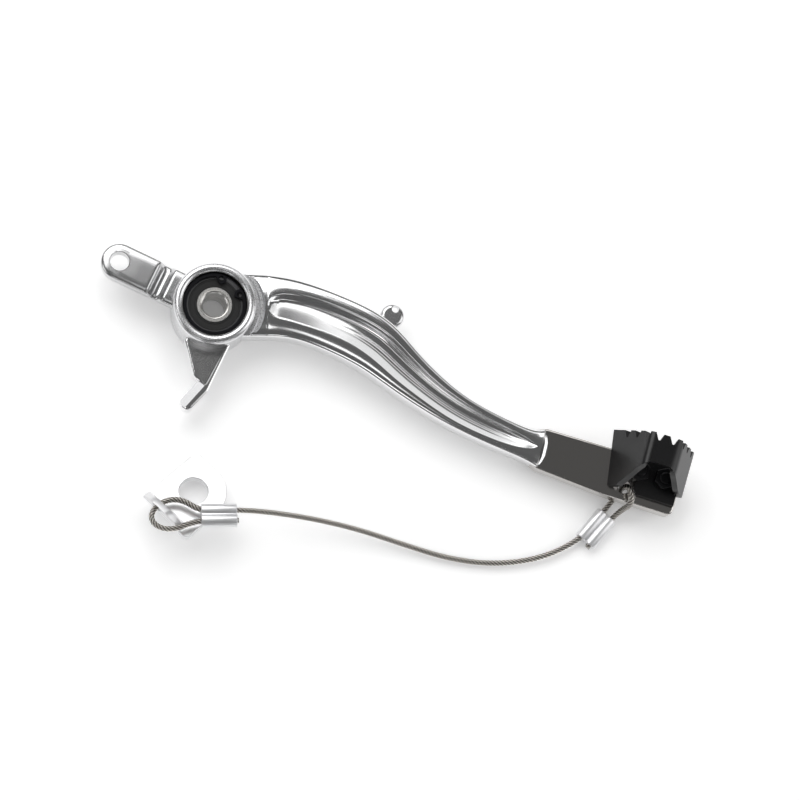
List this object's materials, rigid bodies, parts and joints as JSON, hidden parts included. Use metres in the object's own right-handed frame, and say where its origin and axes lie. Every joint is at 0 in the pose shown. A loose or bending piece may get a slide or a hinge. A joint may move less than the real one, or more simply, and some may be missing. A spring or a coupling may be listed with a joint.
{
  "type": "motorcycle brake pedal",
  "caption": "Forged motorcycle brake pedal: fluted S-shaped arm with a bearing hub, clevis tab, stop hook, toothed foot tip, and a thin guard cable with its bracket.",
  "frame": {"origin": "middle of the bearing pair on the pivot axis", "axes": "+Z along the pivot axis to the outboard side, +X roughly from the pivot towards the foot tip, +Y towards the side of the spring lug"},
  "size_m": [0.2482, 0.1345, 0.0335],
  "materials": {
    "polished_alloy": "polished",
    "black_steel": "satin",
    "zinc_steel": "satin",
    "dark_spring_steel": "satin",
    "bearing_steel": "ground",
    "cage_steel": "satin",
    "seal_rubber": "matte",
    "steel_cable": "clear coated",
    "ferrule_alloy": "satin",
    "satin_alloy": "satin"
  },
  "bodies": {
    "pedal": {"pedal_arm": "polished_alloy", "foot_tip": "black_steel", "tip_screws": "zinc_steel", "tip_nuts": "zinc_steel", "retaining_ring": "dark_spring_steel", "outboard_outer_ring": "bearing_steel", "outboard_outer_seal": "seal_rubber", "outboard_inner_seal": "seal_rubber", "inboard_outer_ring": "bearing_steel", "inboard_outer_seal": "seal_rubber", "inboard_inner_seal": "seal_rubber", "brake_cable": "steel_cable", "ferrule_pedal_end": "ferrule_alloy", "ferrule_bracket_end": "ferrule_alloy", "anchor_bracket": "satin_alloy"},
    "inner_sleeve": {"outboard_inner_ring": "bearing_steel", "inboard_inner_ring": "bearing_steel"},
    "outboard_ball_set": {"outboard_balls": "bearing_steel", "outboard_cage": "cage_steel"},
    "inboard_ball_set": {"inboard_balls": "bearing_steel", "inboard_cage": "cage_steel"}
  },
  "joints": [
    {"name": "pivot", "type": "hinge", "parent": "pedal", "child": "inner_sleeve", "pos_m": [0, 0, 0], "axis": [0, 0, 1], "continuous": true},
    {"name": "outboard_ball_run", "type": "hinge", "parent": "pedal", "child": "outboard_ball_set", "pos_m": [0, 0, 0.004], "axis": [0, 0, 1], "continuous": true},
    {"name": "inboard_ball_run", "type": "hinge", "parent": "pedal", "child": "inboard_ball_set", "pos_m": [0, 0, -0.004], "axis": [0, 0, 1], "continuous": true}
  ],
  "couplings": [
    {"joint": "outboard_ball_run", "follows": "pivot", "ratio": 0.3677},
    {"joint": "inboard_ball_run", "follows": "pivot", "ratio": 0.3677}
  ]
}
